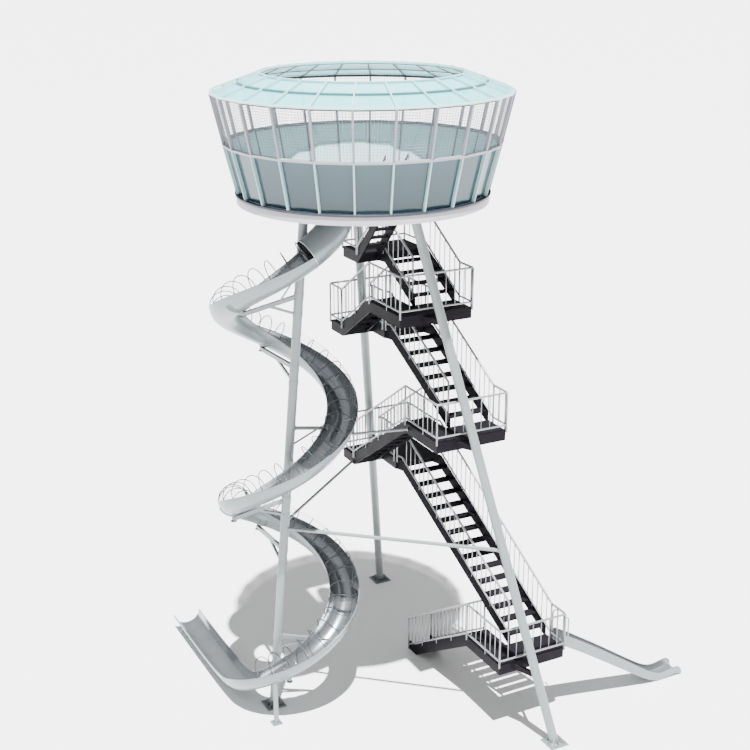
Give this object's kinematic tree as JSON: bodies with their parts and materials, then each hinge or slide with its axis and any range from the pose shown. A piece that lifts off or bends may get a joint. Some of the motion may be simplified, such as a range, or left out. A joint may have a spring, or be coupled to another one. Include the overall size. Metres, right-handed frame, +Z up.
{
  "type": "water slide tower",
  "caption": "Tall three-legged tower with a glazed round pavilion on top, a zigzag steel stair, a spiral trough slide and a small straight chute.",
  "frame": {"origin": "middle of the footprint's box, on the ground", "axes": "+Z up; +X along the front edge of the stair landings, to the right; +Y away from that edge"},
  "size_m": [14.1286, 12.27, 19.6611],
  "materials": {
    "painted_steel": "light blue-grey paint, satin",
    "charcoal_paint": "charcoal powder coat, matt",
    "galvanised": "galvanised, light grey, dull",
    "stainless": "stainless sheet, fine brushed",
    "pale_fascia": "white with a lilac cast, satin",
    "dark_band": "dark seal, matt",
    "frame_white": "aqua white paint, satin",
    "lower_glass": "blue-grey tinted glass",
    "roof_glass": "pale aqua glass",
    "net": "white wire mesh, seen as a sheet",
    "decking": "ribbed deck, matt"
  },
  "bodies": {
    "root": {"arm_slide": "painted_steel", "base_band": "dark_band", "brace_half_landing": "painted_steel", "flight_high": "charcoal_paint", "flight_last": "charcoal_paint", "flight_low": "charcoal_paint", "flight_mid": "charcoal_paint", "floor_beams": "painted_steel", "floor_plate": "decking", "floor_ring": "pale_fascia", "glass_wall": "lower_glass", "half_landing_high": "charcoal_paint", "half_landing_mid": "charcoal_paint", "half_landing_top": "charcoal_paint", "landing_high": "charcoal_paint", "landing_low": "charcoal_paint", "landing_mid": "charcoal_paint", "lane_flight_ground": "charcoal_paint", "lane_flight_high": "charcoal_paint", "lane_flight_mid": "charcoal_paint", "leg_back": "painted_steel", "leg_left": "painted_steel", "leg_right": "painted_steel", "net_wall": "net", "pavilion_frame": "frame_white", "rail_inner_high": "galvanised", "rail_inner_low": "galvanised", "rail_inner_mid": "galvanised", "rail_last_left": "galvanised", "rail_last_right": "galvanised", "rail_outer_high": "galvanised", "rail_outer_low": "galvanised", "rail_outer_mid": "galvanised", "rail_rise_high": "galvanised", "rail_rise_low": "galvanised", "rail_rise_mid": "galvanised", "rail_well_high": "galvanised", "rail_well_low": "galvanised", "rail_well_mid": "galvanised", "roof_glass": "roof_glass", "slide_cage_1": "stainless", "slide_cage_2": "stainless", "slide_cage_3": "stainless", "slide_post": "painted_steel", "slide_runout_1": "stainless", "slide_runout_2": "stainless", "slide_runout_3": "stainless", "slide_trough_1": "stainless", "slide_trough_2": "stainless", "slide_trough_3": "stainless", "slide_tube_top": "stainless", "small_slide": "stainless", "strut_slide": "painted_steel", "tie_front": "painted_steel"}
  },
  "joints": []
}
